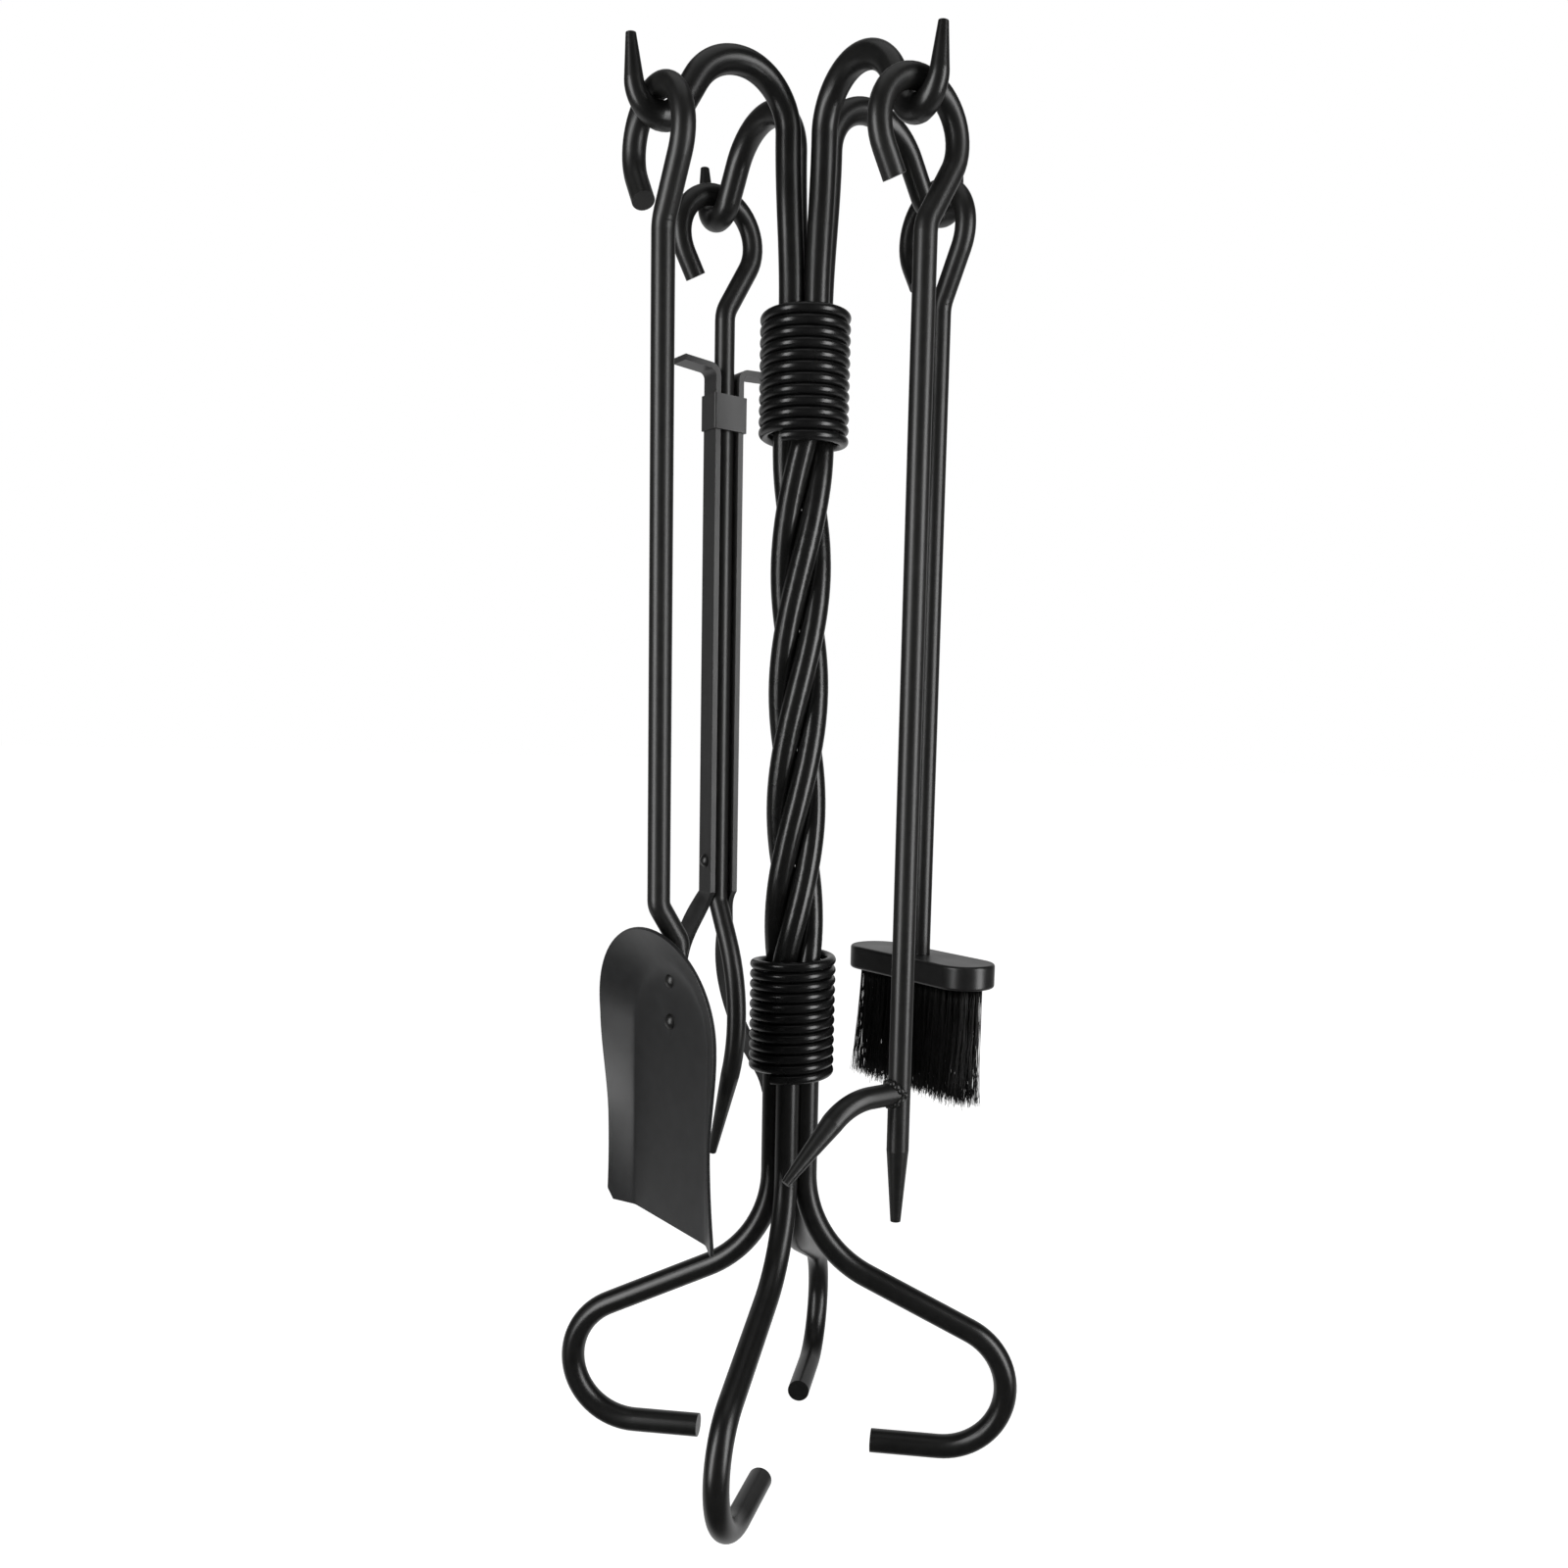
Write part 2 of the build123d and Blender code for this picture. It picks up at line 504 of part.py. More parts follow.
def tongs_strap():
    """Folded sheet strap that ties the two bars and stops the fork against the shaft."""
    inner = 2 * BAR_X + BAR_THICKNESS
    outer = inner + 2 * STRAP_SHEET
    block = Pos(0, -STRAP_SHEET / 2, STRAP_BOTTOM_Z) * Box(
        outer, BAR_WIDTH + STRAP_SHEET, STRAP_HEIGHT, align=FROM_BOTTOM)
    vertical = block.edges().filter_by(Axis.Z).sort_by(Axis.Y)[:2]
    block = fillet(vertical, STRAP_SHEET * 0.8)
    gap = Pos(0, 0, STRAP_BOTTOM_Z) * Box(inner, BAR_WIDTH, STRAP_HEIGHT, align=FROM_BOTTOM)
    return (block - gap).solids()[0]


def tongs_rivet():
    """Pivot rivet across both bars and the shaft, with a domed head on each side."""
    half = BAR_X + BAR_THICKNESS / 2
    along_y = cross_pin(PIVOT_DIAMETER, -half, half, 0)
    heads = [dome(side * half, 0, side, PIVOT_HEAD, RIVET_HEAD_HEIGHT) for side in (1, -1)]
    return Pos(0, 0, PIVOT_Z) * Rot(0, 0, 90) * fused(along_y, *heads)


# ---------------------------------------------------------------- brush
def brush_handle():
    """Shaft with a thinner end that is let into the head."""
    spigot_z = HEAD_TOP_Z - HEAD_SPIGOT_DEPTH
    spigot = Pos(0, 0, spigot_z) * Cylinder(HEAD_SPIGOT / 2, HEAD_SPIGOT_DEPTH, align=FROM_BOTTOM)
    return fused(shaft_and_loop(HEAD_TOP_Z), spigot)


def brush_head():
    """Block with round ends and softened edges, with a blind hole for the handle."""
    block = Pos(0, 0, HEAD_TOP_Z - HEAD_HEIGHT) * extrude(SlotOverall(HEAD_LENGTH, HEAD_WIDTH), amount=HEAD_HEIGHT)
    top = block.faces().sort_by(Axis.Z)[-1]
    bottom = block.faces().sort_by(Axis.Z)[0]
    block = fillet(top.edges() + bottom.edges(), HEAD_EDGE)
    hole = Pos(0, 0, HEAD_TOP_Z - HEAD_SPIGOT_DEPTH) * Cylinder(
        HEAD_SPIGOT / 2, HEAD_SPIGOT_DEPTH, align=FROM_BOTTOM)
    return (block - hole).solids()[0]


def brush_bristles():
    """Envelope of the bristles under the head."""
    shape = SlotOverall(HEAD_LENGTH - 2 * BRISTLE_INSET, HEAD_WIDTH - 2 * BRISTLE_INSET)
    return Pos(0, 0, HEAD_TOP_Z - HEAD_HEIGHT - BRISTLE_LENGTH) * extrude(shape, amount=BRISTLE_LENGTH)


# ---------------------------------------------------------------- tools in their places
def save_tools():
    """The shovel, the poker, the tongs and the brush, each hung on its own hook."""
    save("shovel_handle", SHOVEL_PLACE * shovel_handle())
    save("shovel_blade", SHOVEL_PLACE * shovel_blade())
    save("shovel_rivets", SHOVEL_PLACE * shovel_rivets())
    shaft = poker_shaft()
    barb = poker_barb(shaft)
    save("poker_shaft", POKER_PLACE * shaft)
    save("poker_barb", POKER_PLACE * barb)
    save("poker_weld", POKER_PLACE * poker_weld(shaft, barb))
    save("tongs_rod", TONGS_PLACE * tongs_rod())
    bar = tongs_bar()
    save("tongs_bar_left", TONGS_PLACE * mirror(bar, about=Plane.YZ))
    save("tongs_bar_right", TONGS_PLACE * bar)
    save("tongs_strap", TONGS_PLACE * tongs_strap())
    save("tongs_rivet", TONGS_PLACE * tongs_rivet())
    save("brush_handle", BRUSH_PLACE * brush_handle())
    save("brush_head", BRUSH_PLACE * brush_head())
    save("brush_bristles", BRUSH_PLACE * brush_bristles())


os.makedirs("parts", exist_ok=True)
save_stand()
save_tools()
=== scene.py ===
"""Fireplace tool set: surfaces, bristles, pressed blade, weld and bend details, studio light and camera."""
import random
from math import cos, hypot, pi, radians, sin, sqrt

import bmesh
import bpy
from mathutils import Matrix, Vector


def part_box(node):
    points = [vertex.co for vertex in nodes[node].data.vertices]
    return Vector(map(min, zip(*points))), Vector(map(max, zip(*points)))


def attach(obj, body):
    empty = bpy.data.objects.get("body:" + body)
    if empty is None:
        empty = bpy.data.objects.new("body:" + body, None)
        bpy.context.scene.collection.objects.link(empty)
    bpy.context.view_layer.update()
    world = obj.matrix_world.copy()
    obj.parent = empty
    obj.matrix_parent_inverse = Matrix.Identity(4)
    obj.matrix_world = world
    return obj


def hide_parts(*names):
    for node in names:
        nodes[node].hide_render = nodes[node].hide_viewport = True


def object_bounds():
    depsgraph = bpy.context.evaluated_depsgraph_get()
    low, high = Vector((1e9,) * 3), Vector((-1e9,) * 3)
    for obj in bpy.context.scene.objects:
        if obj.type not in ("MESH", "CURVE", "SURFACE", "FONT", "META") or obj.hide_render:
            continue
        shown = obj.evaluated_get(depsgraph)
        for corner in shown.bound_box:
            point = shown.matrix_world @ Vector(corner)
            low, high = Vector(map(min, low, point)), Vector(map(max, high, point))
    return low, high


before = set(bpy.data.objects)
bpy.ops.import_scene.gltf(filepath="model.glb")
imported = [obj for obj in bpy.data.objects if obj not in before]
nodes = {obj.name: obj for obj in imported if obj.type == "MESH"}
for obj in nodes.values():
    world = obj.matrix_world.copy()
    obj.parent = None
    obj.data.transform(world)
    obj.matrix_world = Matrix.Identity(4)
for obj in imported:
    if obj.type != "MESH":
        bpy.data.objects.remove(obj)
cad_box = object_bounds()

MM = 0.001

# camera: the principal point lies right of and below the middle of the image
CAMERA_PLACE = (-0.4045, -0.5704, 0.388)
CAMERA_YAW = -38.16
CAMERA_PITCH = -7.3
CAMERA_ROLL = 1.5
CAMERA_LENS = 30.35
CAMERA_SHIFT = (-0.0475, 0.085)
CAMERA_NEAR = 0.01

# studio
BACKDROP = (1.0, 1.0, 1.0)
FLOOR_SIZE = 60.0
FLOOR_COLOUR = (0.3, 0.3, 0.3)
FLOOR_ROUGHNESS = 0.7
FLOOR_GLOW = 1.0
ROOM_FRONT = 0.02               # radiance of the room on the camera's side
ROOM_BACK = 0.6                 # and behind the object
ROOM_GROUND = 0.7               # and of the table on the far side
WALL_SPAN = (0.45, 0.95)        # cosines to the view direction between which the wall brightens
TABLE_SPAN = (-0.1, 0.5)        # and between which the table brightens
GROUND_SPAN = (0.14, 0.42)      # cosines to straight down between which the table begins
SIDE_LIGHTS = (("left_softbox", -50), ("right_softbox", 58))      # degrees round from the camera
SIDE_LIGHT_DISTANCE = 1.5
SIDE_LIGHT_HEIGHT = 0.5
SIDE_LIGHT_AIM = (0, 0, 0.4)
SIDE_LIGHT_SIZE = (0.6, 1.5)
SIDE_LIGHT_RADIANCE = 7.5
TOP_LIGHT_DISTANCE = 0.1
TOP_LIGHT_HEIGHT = 1.9
TOP_LIGHT_SIZE = (1.2, 1.2)
TOP_LIGHT_RADIANCE = 0.5

# surfaces, as linear colour
STAND_COLOUR = (0.0055, 0.0055, 0.0053)
TOOL_COLOUR = (0.0065, 0.0065, 0.0062)
WRAP_COLOUR = (0.005, 0.005, 0.005)
FLAT_COLOUR = (0.010, 0.010, 0.010)
BLADE_COLOUR = (0.0085, 0.0087, 0.009)
HEAD_COLOUR = (0.0075, 0.0075, 0.0075)
BRISTLE_COLOUR = (0.0035, 0.0035, 0.0035)
BRISTLE_DARK = (0.002, 0.002, 0.002)
BRISTLE_LIGHT = (0.016, 0.0155, 0.015)
ZINC_COLOUR = (0.45, 0.45, 0.47)
ZINC_DARK = (0.36, 0.36, 0.38)
ZINC_LIGHT = (0.52, 0.52, 0.54)

# powder coat: scales are in cells per metre
NOISE_SPAN = (0.25, 0.75)       # most of a noise texture's values lie between these
GLOSS_SCALE = 38
TONE_SCALE = 160
TONE_DARK = 0.8
TONE_LIGHT = 1.35
# painted highlight: thin edges are painted this many times lighter than the coat, standing in for light caught
# on the edges
TONE_EDGE_HIGHLIGHT = 3.2
EDGE_HIGHLIGHT_SPAN = (0.52, 0.62)        # pointiness between which an edge counts as thin
PEEL_SCALE = 430
PEEL_DEPTH = 0.03 * MM
GRAIN_SCALE = 1900
GRAIN_DEPTH = 0.01 * MM
GRAIN_SHARE = 0.4               # strength of the grain as a share of the peel

# tools: the rod's radius, and how far a shaft stands beside the middle plane of its hook
TOOL_ROD_RADIUS = 5.55 * MM
LOOP_OFFSET = 5.4 * MM


# ---------------------------------------------------------------- materials
def new_material(name, colour, roughness):
    """A material, the node tree in it and its Principled shader."""
    material = bpy.data.materials.new(name)
    material.use_nodes = True
    tree = material.node_tree
    shader = tree.nodes["Principled BSDF"]
    shader.inputs["Base Color"].default_value = (*colour, 1)
    shader.inputs["Roughness"].default_value = roughness
    material.diffuse_color = (*colour, 1)
    return material, tree, shader


def noise(tree, scale, detail, stretch=(1, 1, 1)):
    """Noise over the object's own coordinates; scale is in cells per metre."""
    place = tree.nodes.new("ShaderNodeTexCoord")
    mapping = tree.nodes.new("ShaderNodeMapping")
    mapping.inputs["Scale"].default_value = stretch
    texture = tree.nodes.new("ShaderNodeTexNoise")
    texture.inputs["Scale"].default_value = scale
    texture.inputs["Detail"].default_value = detail
    tree.links.new(place.outputs["Object"], mapping.inputs["Vector"])
    tree.links.new(mapping.outputs["Vector"], texture.inputs["Vector"])
    return texture.outputs["Fac"]


def ranged(tree, value, span, low, high):
    """value, between the two ends of span, onto low..high."""
    node = tree.nodes.new("ShaderNodeMapRange")
    node.inputs["From Min"].default_value = span[0]
    node.inputs["From Max"].default_value = span[1]
    node.inputs["To Min"].default_value = low
    node.inputs["To Max"].default_value = high
    tree.links.new(value, node.inputs["Value"])
    return node.outputs["Result"]


def mixed(tree, factor, first, second):
    """Colour between first, which may come from another node, and second."""
    node = tree.nodes.new("ShaderNodeMix")
    node.data_type = "RGBA"
    if isinstance(first, tuple):
        node.inputs["A"].default_value = (*first, 1)
    else:
        tree.links.new(first, node.inputs["A"])
    node.inputs["B"].default_value = (*second, 1)
    tree.links.new(factor, node.inputs["Factor"])
    return node.outputs["Result"]


def bumped(tree, shader, *layers):
    """Bump from (height, strength, depth in metres) layers, one after the other."""
    normal = None
    for height, strength, depth in layers:
        node = tree.nodes.new("ShaderNodeBump")
        node.inputs["Strength"].default_value = strength
        node.inputs["Distance"].default_value = depth
        tree.links.new(height, node.inputs["Height"])
        if normal is not None:
            tree.links.new(normal, node.inputs["Normal"])
        normal = node.outputs["Normal"]
    tree.links.new(normal, shader.inputs["Normal"])


def powder_coat(name, colour, roughness, spread=0.02, peel=0.1, edge_highlight=0.0):
    """Baked powder coat: fine orange peel, slow changes of gloss and tone, and a painted highlight that makes
    thin edges lighter.
    """
    material, tree, shader = new_material(name, colour, roughness)
    gloss = ranged(tree, noise(tree, GLOSS_SCALE, 3), NOISE_SPAN, roughness - spread, roughness + spread)
    tree.links.new(gloss, shader.inputs["Roughness"])
    patches = ranged(tree, noise(tree, TONE_SCALE, 3), NOISE_SPAN, 0, 1)
    dark, light, edge_lit = (tuple(c * share for c in colour) for share in (TONE_DARK, TONE_LIGHT, TONE_EDGE_HIGHLIGHT))
    tone = mixed(tree, patches, dark, light)
    # painted highlight: thin edges, found by pointiness, are painted lighter as if they caught the light
    if edge_highlight:
        pointiness = tree.nodes.new("ShaderNodeNewGeometry").outputs["Pointiness"]
        tone = mixed(tree, ranged(tree, pointiness, EDGE_HIGHLIGHT_SPAN, 0, edge_highlight), tone, edge_lit)
    tree.links.new(tone, shader.inputs["Base Color"])
    bumped(tree, shader,
           (noise(tree, PEEL_SCALE, 1.5), peel, PEEL_DEPTH),
           (noise(tree, GRAIN_SCALE, 1), peel * GRAIN_SHARE, GRAIN_DEPTH))
    return material


def zinc_plate(name):
    """Zinc-plated steel, lightly brushed round the stud."""
    material, tree, shader = new_material(name, ZINC_COLOUR, roughness=0.35)
    shader.inputs["Metallic"].default_value = 1.0
    lines = noise(tree, 700, 4, stretch=(1, 1, 8))
    tree.links.new(ranged(tree, lines, NOISE_SPAN, 0.26, 0.46), shader.inputs["Roughness"])
    tree.links.new(mixed(tree, lines, ZINC_DARK, ZINC_LIGHT), shader.inputs["Base Color"])
    bumped(tree, shader, (lines, 0.2, 0.04 * MM))
    return material


def bristle_fibre(name):
    """Stiff black synthetic fibre, its tone changing from strand to strand and its gloss along each strand."""
    material, tree, shader = new_material(name, BRISTLE_COLOUR, roughness=0.42)
    shader.inputs["Specular IOR Level"].default_value = 0.35
    strand = tree.nodes.new("ShaderNodeAttribute")
    strand.attribute_name = "strand"
    tree.links.new(mixed(tree, strand.outputs["Fac"], BRISTLE_DARK, BRISTLE_LIGHT), shader.inputs["Base Color"])
    along = noise(tree, 90, 3, stretch=(1, 1, 0.4))
    tree.links.new(ranged(tree, along, NOISE_SPAN, 0.34, 0.55), shader.inputs["Roughness"])
    bumped(tree, shader, (noise(tree, 2400, 1, stretch=(1, 1, 0.1)), 0.2, 0.03 * MM))
    return material


def assign(material, *names):
    """Give a material to CAD nodes."""
    for name in names:
        mesh = nodes[name].data
        mesh.materials.clear()
        mesh.materials.append(material)


def names_with(*starts):
    """CAD nodes whose names start with one of the given words."""
    return [name for name in sorted(nodes) if name.startswith(starts)]


stand_coat = powder_coat("stand_coat", STAND_COLOUR, roughness=0.33)
column_coat = powder_coat("column_coat", STAND_COLOUR, roughness=0.27, spread=0.015)
wrap_coat = powder_coat("wrap_coat", WRAP_COLOUR, roughness=0.27, spread=0.015)
tool_coat = powder_coat("tool_coat", TOOL_COLOUR, roughness=0.37)
# the flat bars, the blade and the brush head get the painted edge highlight
flat_coat = powder_coat("flat_coat", FLAT_COLOUR, roughness=0.42, spread=0.04, peel=0.3, edge_highlight=0.6)
blade_coat = powder_coat("blade_coat", BLADE_COLOUR, roughness=0.40, spread=0.01, peel=0.06, edge_highlight=0.5)
head_coat = powder_coat("head_coat", HEAD_COLOUR, roughness=0.36, spread=0.05, peel=0.5, edge_highlight=0.7)
fibre = bristle_fibre("bristle_fibre")
zinc = zinc_plate("zinc_plate")

assign(stand_coat, *names_with("leg_", "hook_arm_"), "arm_plate")
assign(column_coat, *names_with("column_"))
assign(wrap_coat, "lower_wrap", "upper_wrap")
assign(zinc, "lower_stud", "upper_stud")
assign(tool_coat, "shovel_handle", "shovel_rivets", "poker_shaft", "poker_barb", "poker_weld", "tongs_rod",
       "tongs_rivet", "brush_handle")
assign(flat_coat, "tongs_bar_left", "tongs_bar_right", "tongs_strap")
assign(blade_coat, "shovel_blade")
assign(head_coat, "brush_head")

# where each tool's shaft stands, and the way its loop opens sideways
shafts = {
    "shovel": Vector((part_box("shovel_handle")[0].x + TOOL_ROD_RADIUS, -LOOP_OFFSET, 0)),
    "poker": Vector((LOOP_OFFSET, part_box("poker_shaft")[0].y + TOOL_ROD_RADIUS, 0)),
    "tongs": Vector((LOOP_OFFSET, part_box("tongs_rod")[1].y - TOOL_ROD_RADIUS, 0)),
    "brush": Vector((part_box("brush_handle")[1].x - TOOL_ROD_RADIUS, -LOOP_OFFSET, 0)),
}
sideways_of = {
    "shovel": Vector((0, -1, 0)),
    "poker": Vector((1, 0, 0)),
    "tongs": Vector((1, 0, 0)),
    "brush": Vector((0, -1, 0)),
}


# ---------------------------------------------------------------- mesh helpers
def add_piece(name, mesh, material, body):
    """A finished mesh as a piece of the object that moves with a body."""
    piece = bpy.data.objects.new(name, mesh)
    bpy.context.scene.collection.objects.link(piece)
    mesh.materials.append(material)
    for polygon in mesh.polygons:
        polygon.use_smooth = True
    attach(piece, body)
    return piece


def ring_frame(direction):
    """Two directions square to direction and to each other."""
    side = direction.cross(Vector((0, 0, 1)))
    if side.length < 0.2:
        side = direction.cross(Vector((1, 0, 0)))
    side.normalize()
    return side, direction.cross(side).normalized()


def tube_mesh(name, tubes, sides):
    """One mesh of tubes, each a list of (point, radius), with flat ends."""
    vertices = []
    faces = []
    for line in tubes:
        first = len(vertices)
        count = len(line)
        for i, (point, radius) in enumerate(line):
            ahead = line[min(i + 1, count - 1)][0] - line[max(i - 1, 0)][0]
            u, v = ring_frame(ahead.normalized())
            for k in range(sides):
                angle = 2 * pi * k / sides
                vertices.append(point + (u * cos(angle) + v * sin(angle)) * radius)
        for i in range(count - 1):
            for k in range(sides):
                a = first + i * sides + k
                b = first + i * sides + (k + 1) % sides
                faces.append((a, b, b + sides, a + sides))
        faces.append([first + k for k in reversed(range(sides))])
        faces.append([first + (count - 1) * sides + k for k in range(sides)])
    mesh = bpy.data.meshes.new(name)
    mesh.from_pydata(vertices, [], faces)
    mesh.update()
    return mesh


# ---------------------------------------------------------------- bristles
BRISTLE_SEED = 7
TUFT_PITCH = 5.2 * MM
TUFT_RADIUS = 1.9 * MM
TUFT_INSET = 0.6                  # shares of a tuft's radius that the outer tufts stay inside the outline
TUFT_LENGTH = (0.975, 0.014)      # mean and spread, as shares of the bristles' whole height
STRANDS_PER_TUFT = 44
STRAND_SIDES = 3
STRAND_STEPS = 6
STRAND_RADIUS = 0.19 * MM
STRAND_TAPER = 0.45
STRAND_LENGTH = (1.0, 0.018)      # mean and spread, as shares of the tuft's length
LONGEST_STRAND = 1.05
ROOT_DEPTH = 1 * MM               # how far the strands reach up into the head
CURL = 0.02
CRIMP = 0.7 * MM
CRIMP_TURN = 2.2 * pi
FLARE = (0.02, 0.012)             # lean of the outermost tufts, across and along the head
BRISTLE_LEAN = 0.035              # the whole brush has taken a slight set towards the tongs
STRAND_SPLAY = 0.018
STRAY_SHARE = 0.05
STRAY_SPLAY = (0.05, 0.09)
TONE_POWER = 3                    # most strands stay dark, and a few are lighter


def strand_line(rng, root, lean, length, crimp):
    """One fibre: it leaves the head almost straight and bends more and more towards its tip."""
    phase = rng.uniform(0, 2 * pi)
    curl = Vector((rng.gauss(0, 1), rng.gauss(0, 1), 0)) * CURL
    line = []
    for i in range(STRAND_STEPS + 1):
        t = i / STRAND_STEPS
        wave = crimp * t * sin(CRIMP_TURN * t + phase)
        x = root.x + length * (lean.x * t + curl.x * t * t) + wave * cos(phase)
        y = root.y + length * (lean.y * t + curl.y * t * t) + wave * sin(phase)
        drop = length * t * (1 - 0.5 * (lean.length * t) ** 2)
        line.append((Vector((x, y, root.z - drop)), STRAND_RADIUS * (1 - STRAND_TAPER * t)))
    return line


def make_bristles():
    """Rows of fibre tufts under the brush head, flaring a little, with ragged ends and a few stray fibres."""
    rng = random.Random(BRISTLE_SEED)
    low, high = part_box("brush_bristles")
    middle = (low + high) / 2
    half_width = (high.x - low.x) / 2
    half_length = (high.y - low.y) / 2
    full = high.z - low.z
    straight = half_length - half_width
    lines = []
    rows = int(half_width / TUFT_PITCH)
    columns = int(half_length / TUFT_PITCH)
    for i in range(-columns, columns + 1):
        for j in range(-rows, rows + 1):
            y = (i + 0.5 * (j % 2)) * TUFT_PITCH
            x = j * TUFT_PITCH
            beyond = max(abs(y) - straight, 0)
            if hypot(beyond, x) > half_width - TUFT_RADIUS * TUFT_INSET:
                continue
            tuft_lean = Vector((x / half_width * FLARE[0], y / half_length * FLARE[1] + BRISTLE_LEAN, 0))
            tuft_length = full * rng.gauss(*TUFT_LENGTH)
            for _ in range(STRANDS_PER_TUFT):
                angle = rng.uniform(0, 2 * pi)
                reach = TUFT_RADIUS * sqrt(rng.random())
                root_x = middle.x + x + reach * cos(angle)
                root_y = middle.y + y + reach * sin(angle)
                root = Vector((root_x, root_y, high.z + ROOT_DEPTH))
                lean = tuft_lean + Vector((rng.gauss(0, STRAND_SPLAY), rng.gauss(0, STRAND_SPLAY), 0))
                if rng.random() < STRAY_SHARE:
                    lean += Vector((rng.gauss(0, STRAY_SPLAY[0]), rng.gauss(0, STRAY_SPLAY[1]), 0))
                length = tuft_length * min(rng.gauss(*STRAND_LENGTH), LONGEST_STRAND)
                lines.append(strand_line(rng, root, lean, length, rng.uniform(0, CRIMP)))
    mesh = tube_mesh("brush_bristle_strands", lines, STRAND_SIDES)
    tone = mesh.attributes.new("strand", "FLOAT", "POINT")
    values = []
    for line in lines:
        value = rng.random() ** TONE_POWER
        values += [value] * (STRAND_SIDES * len(line))
    tone.data.foreach_set("value", values)
    piece = add_piece("brush_bristle_strands", mesh, fibre, "brush")
    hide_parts("brush_bristles")


# ---------------------------------------------------------------- the shovel's pressed blade
SHEET = 1.8 * MM
PAN_FLOOR = 7.0 * MM                  # from the axis of the handle back to the pan's floor
PAN_HALF_WIDTH = 35.4 * MM
PAN_DOME = 35.6 * MM                  # height of the pan's domed end
PAN_SPRING = 97.5 * MM                # from the lip up to where the pan's dome begins
BLADE_LENGTH = 152.0 * MM
WIDE = (101.5 * MM, 56.3 * MM)        # height over the lip and half width where the blade is widest
NECK = (47.5 * MM, 49.4 * MM)         # and where it is narrowest
LIP_HALF_WIDTH = 53.0 * MM
CORNER_CUT = 3.8 * MM
RIM_LIP = 7.5 * MM                    # height of the rim over the pan at the lip
RIM_WIDE = 10.0 * MM                  # and where the blade is widest
RIM_TOP = 14.2 * MM                   # and at the top of the dome
RIM_POWER = 1.2
SIDE_CREASE = 1.2 * MM                # width of the bend between pan and wall along the sides
DOME_CREASE = 6.0 * MM                # and round the dome
SIDE_STEPS = 60
DOME_STEPS = 44
PAN_STEPS = 12
WALL_STEPS = 14
LIP_CROWDING = 1.25                   # stations lie closer together towards the lip
CREASE_CROWDING = 1.8                 # and rows towards the crease
RIM_ROUNDS = 6                        # repeats that settle the rim's place on the dome
MERGE_DISTANCE = 0.01 * MM
EDGE_ROUND = 0.45 * MM
EDGE_ANGLE = 50


def rim_height(up):
    """Height of the rim over the pan, up metres above the lip."""
    if up < WIDE[0]:
        return RIM_LIP + (RIM_WIDE - RIM_LIP) * up / WIDE[0]
    share = (up - WIDE[0]) / (BLADE_LENGTH - WIDE[0])
    return RIM_WIDE + (RIM_TOP - RIM_WIDE) * share ** RIM_POWER


def side_half_width(up):
    """Half width of the blade between the lip and its widest place."""
    if up < NECK[0]:
        return NECK[1] + (LIP_HALF_WIDTH - NECK[1]) * (1 - up / NECK[0]) ** 2
    t = (up - NECK[0]) / (WIDE[0] - NECK[0])
    return NECK[1] + (WIDE[1] - NECK[1]) * t * t * (3 - 2 * t)


def side_station(t):
    """Spine, pan edge, rim edge and rim height on the right side, t from 0 at the lip to 1 at the dome."""
    up = PAN_SPRING * t ** LIP_CROWDING
    rim_up = WIDE[0] * t ** LIP_CROWDING
    height = rim_height(rim_up)
    reach = side_half_width(rim_up)
    cut = min(reach, LIP_HALF_WIDTH - CORNER_CUT + rim_up / 2)
    height *= (cut - PAN_HALF_WIDTH) / (reach - PAN_HALF_WIDTH)
    return (0, up), (PAN_HALF_WIDTH, up), (cut, rim_up), height


def dome_station(angle):
    """The same on the domed end, at an angle from the right side over the top to the left side."""
    edge = (PAN_HALF_WIDTH * cos(angle), PAN_SPRING + PAN_DOME * sin(angle))
    full_width = PAN_HALF_WIDTH + (WIDE[1] - PAN_HALF_WIDTH) * RIM_TOP / RIM_WIDE
    full = (full_width * cos(angle), WIDE[0] + (BLADE_LENGTH - WIDE[0]) * sin(angle))
    height = RIM_TOP
    for _ in range(RIM_ROUNDS):
        share = height / RIM_TOP
        rim = [edge[k] + (full[k] - edge[k]) * share for k in (0, 1)]
        height = rim_height(rim[1])
    return (0, PAN_SPRING), edge, rim, height


def blade_section(station, crease):
    """Points (sideways, up, rise) from the spine across the pan and up the wall, with a soft crease between."""
    spine, edge, rim, height = station
    floor_run = hypot(edge[0] - spine[0], edge[1] - spine[1])
    wall_run = hypot(rim[0] - edge[0], rim[1] - edge[1])
    slope = height / wall_run
    pan_shares = [1 - (1 - i / PAN_STEPS) ** CREASE_CROWDING for i in range(PAN_STEPS)]
    wall_shares = [(i / WALL_STEPS) ** CREASE_CROWDING for i in range(WALL_STEPS + 1)]
    stops = [(spine, edge, share, -floor_run * (1 - share)) for share in pan_shares]
    stops += [(edge, rim, share, wall_run * share) for share in wall_shares]
    points = []
    for first, last, share, past in stops:
        rise = slope * (past + sqrt(past * past + crease * crease)) / 2
        points.append([first[k] + (last[k] - first[k]) * share for k in (0, 1)] + [rise])
    return points


